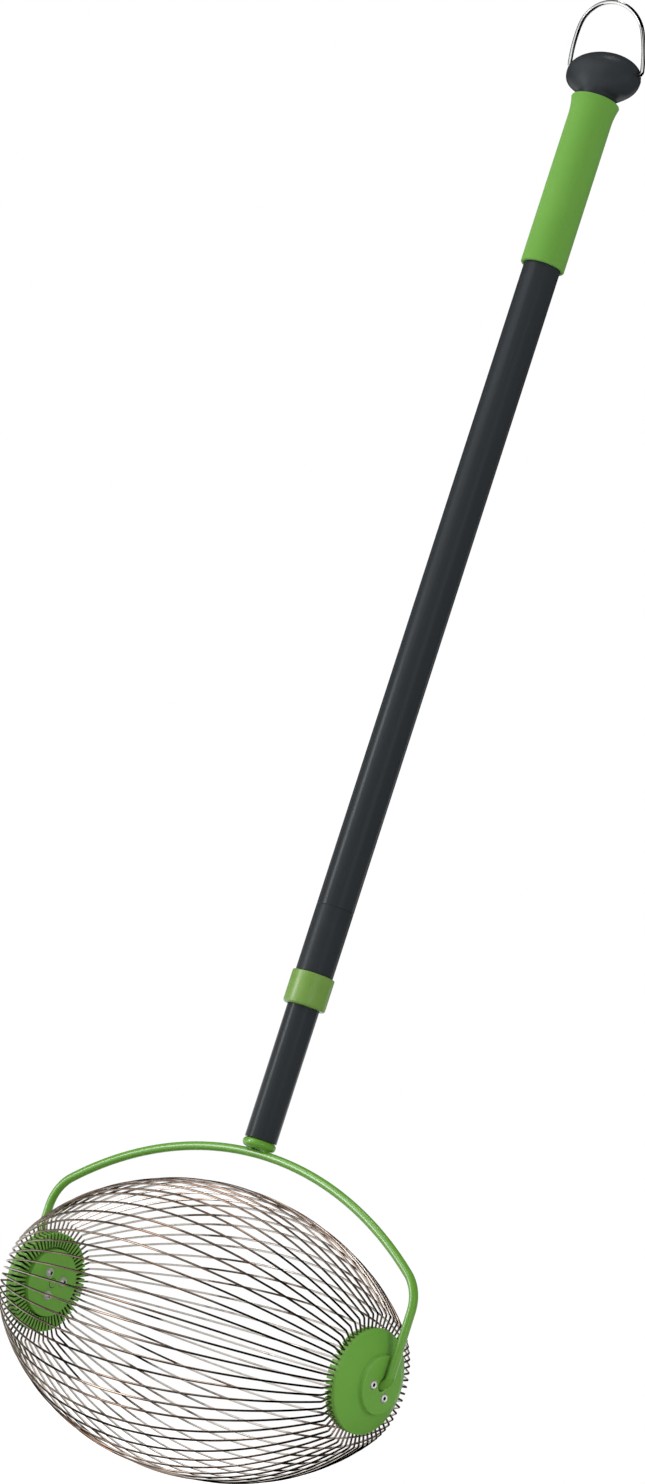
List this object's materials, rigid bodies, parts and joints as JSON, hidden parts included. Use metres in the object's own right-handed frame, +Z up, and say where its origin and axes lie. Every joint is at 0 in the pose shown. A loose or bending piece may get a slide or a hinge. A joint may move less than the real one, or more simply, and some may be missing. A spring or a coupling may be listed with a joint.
{
  "type": "rolling nut gatherer",
  "caption": "Rolling wire cage that picks nuts off the ground between springy wires, carried by a bent rod yoke on a telescopic pole with a grip and a wire bail.",
  "frame": {"origin": "on the ground under the middle of the axle, with the cage standing on z = 0", "axes": "+Z up the pole, +X along the axle towards the right hub, -Y towards the side that the bail leans to"},
  "size_m": [0.3322, 0.1952, 1.0589],
  "materials": {
    "spring_wire": "drawn spring steel, oiled",
    "hub_plastic": "satin moulded",
    "bright_steel": "nickel plated",
    "bush_plastic": "natural moulded",
    "green_coat": "gloss powder coat",
    "tube_coat": "satin powder coat",
    "dark_plastic": "satin moulded",
    "collar_plastic": "satin moulded",
    "grip_rubber": "soft matt",
    "bail_chrome": "bright plated"
  },
  "bodies": {
    "yoke": {"yoke_rod": "green_coat", "yoke_ferrule": "green_coat", "yoke_weld": "green_coat", "lower_tube": "tube_coat"},
    "basket": {"cage_wires_a": "spring_wire", "cage_wires_b": "spring_wire", "cage_wires_c": "spring_wire", "cage_wires_d": "spring_wire", "cage_wires_e": "spring_wire", "cage_wires_f": "spring_wire", "hub_cup_left": "hub_plastic", "hub_plate_left": "hub_plastic", "hub_screws_left": "bright_steel", "hub_nuts_left": "bright_steel", "axle_bush_left": "hub_plastic", "hub_cup_right": "hub_plastic", "hub_plate_right": "hub_plastic", "hub_screws_right": "bright_steel", "hub_nuts_right": "bright_steel", "axle_bush_right": "hub_plastic"},
    "guide": {"guide_bush": "bush_plastic"},
    "handle": {"upper_tube": "tube_coat", "lock_sleeve": "dark_plastic", "lock_ring": "bush_plastic", "grip": "grip_rubber", "end_knob": "dark_plastic"},
    "collar": {"twist_collar": "collar_plastic"},
    "bail": {"bail": "bail_chrome"}
  },
  "joints": [
    {"name": "basket_spin", "type": "hinge", "parent": "yoke", "child": "basket", "pos_m": [0, 0, 0.0976], "axis": [1, 0, 0], "continuous": true},
    {"name": "handle_swivel", "type": "hinge", "parent": "yoke", "child": "guide", "pos_m": [0, 0, 0.7386], "axis": [0, 0, 1], "continuous": true},
    {"name": "handle_extend", "type": "slide", "parent": "guide", "child": "handle", "axis": [0, 0, 1], "range_m": [-0.09, 0.3]},
    {"name": "collar_twist", "type": "hinge", "parent": "handle", "child": "collar", "pos_m": [0, 0, 0.33375], "axis": [0, 0, 1], "range_deg": [0, 120]},
    {"name": "bail_swing", "type": "hinge", "parent": "handle", "child": "bail", "pos_m": [0, 0, 1.0126], "axis": [0.9848, 0.1736, 0], "range_deg": [-114, 71]}
  ]
}
